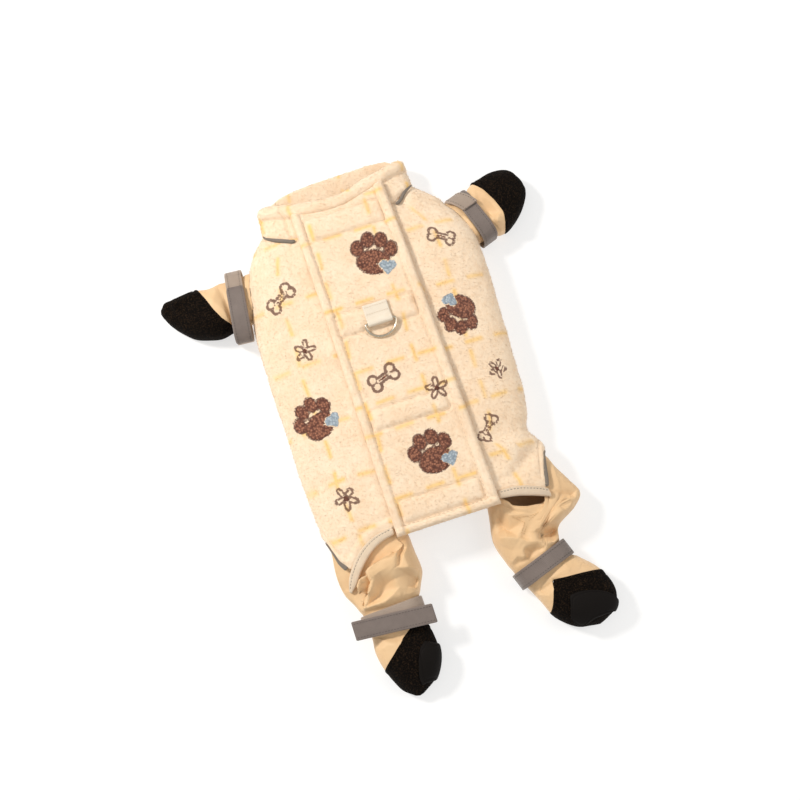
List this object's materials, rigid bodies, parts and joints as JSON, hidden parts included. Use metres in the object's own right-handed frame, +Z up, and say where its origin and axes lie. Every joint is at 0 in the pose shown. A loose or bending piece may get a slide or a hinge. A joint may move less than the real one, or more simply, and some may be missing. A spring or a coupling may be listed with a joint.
{
  "type": "dog jumpsuit",
  "caption": "Small dog's fleece jumpsuit with padded collar, back placket panel, D-ring, woven sleeves and legs with straps and dark knitted boots, lying flat on its belly",
  "frame": {"origin": "on the flat underside of the body at its middle, on the surface that it lies on", "axes": "+Y towards the collar along the body, +X to the right seen from above, +Z up from the surface"},
  "size_m": [0.3154, 0.4059, 0.0488],
  "materials": {
    "fleece": "short brushed polyester fleece, cream with pale yellow dashes and small brown prints",
    "woven_cloth": "light water-repellent woven cloth, soft sheen",
    "boot_knit": "dark brown-black knit",
    "boot_sole": "smooth black coated sole patch, matt",
    "piping": "grey reflective piping tape",
    "binding": "cream elastic binding with a stitch line",
    "strap": "grey-brown hook and loop strap",
    "strap_pale": "paler taupe side of the strap",
    "webbing": "ivory satin webbing",
    "ring_metal": "polished pale champagne plating"
  },
  "bodies": {
    "root": {"torso_shell": "fleece", "collar": "fleece", "placket_panel": "fleece", "collar_piping_left": "piping", "collar_piping_right": "piping", "hip_piping_left": "piping", "hip_piping_right": "piping", "hem_binding_left": "binding", "hem_binding_right": "binding", "sleeve_left": "woven_cloth", "sleeve_right": "woven_cloth", "front_boot_left": "boot_knit", "front_boot_right": "boot_knit", "leg_left": "woven_cloth", "leg_right": "woven_cloth", "rear_boot_left": "boot_knit", "rear_boot_right": "boot_knit", "rear_sole_left": "boot_sole", "rear_sole_right": "boot_sole", "sleeve_strap_left": "strap_pale", "sleeve_strap_right": "strap", "leg_strap_left": "strap_pale", "leg_strap_right": "strap", "sleeve_strap_end_left": "strap", "sleeve_strap_end_right": "strap_pale", "leg_strap_end_left": "strap", "ring_tab": "webbing"},
    "ring": {"d_ring": "ring_metal"}
  },
  "joints": [
    {"name": "ring_flip", "type": "hinge", "parent": "root", "child": "ring", "pos_m": [-0.00304, 0.0225, 0.04624], "axis": [-1, 0, 0], "range_deg": [0, 150]}
  ]
}
